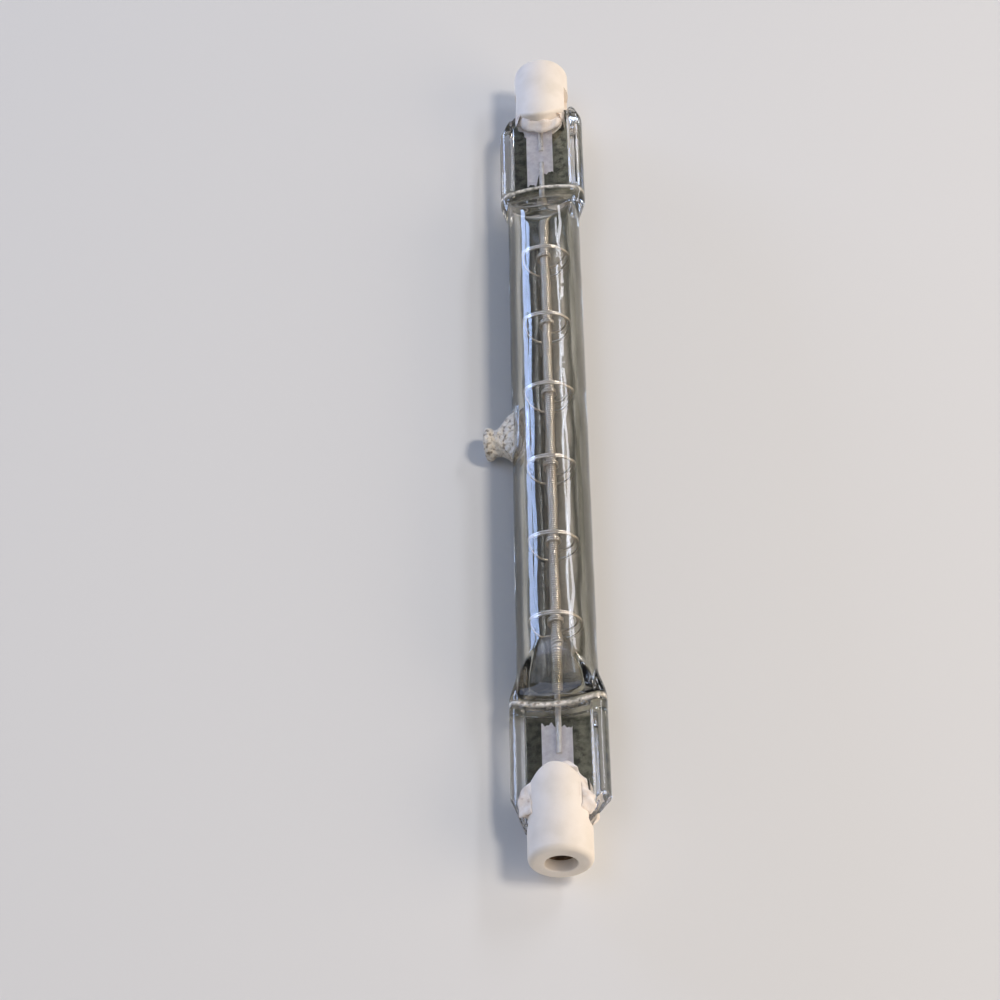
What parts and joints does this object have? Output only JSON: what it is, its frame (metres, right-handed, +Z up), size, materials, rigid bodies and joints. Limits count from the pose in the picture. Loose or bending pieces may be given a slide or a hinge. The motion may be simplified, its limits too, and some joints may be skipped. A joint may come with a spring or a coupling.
{
  "type": "linear halogen bulb",
  "caption": "Double-ended linear halogen bulb: clear quartz tube with a coiled filament on wire supports, flat pinch seals and round ceramic end caps with recessed contacts.",
  "frame": {"origin": "centre of the lamp's volume, on its axis", "axes": "+X along the lamp's axis towards the near cap, +Z up with the lamp lying at rest, the exhaust tip low on the -Y side"},
  "size_m": [0.1176, 0.0132, 0.009],
  "materials": {
    "quartz": "clear, polished",
    "tungsten": "drawn wire",
    "molybdenum": "satin",
    "steatite": "matt",
    "contact": "satin",
    "cement": "rough"
  },
  "bodies": {
    "root": {"cement_far": "cement", "cement_near": "cement", "ceramic_cap_far": "steatite", "ceramic_cap_near": "steatite", "contact_far": "contact", "contact_near": "contact", "filament_coil": "tungsten", "inner_lead_far": "molybdenum", "inner_lead_near": "molybdenum", "outer_lead_far": "molybdenum", "outer_lead_near": "molybdenum", "quartz_envelope": "quartz", "seal_foil_far": "molybdenum", "seal_foil_near": "molybdenum", "support_1": "tungsten", "support_2": "tungsten", "support_3": "tungsten", "support_4": "tungsten", "support_5": "tungsten", "support_6": "tungsten"}
  },
  "joints": []
}
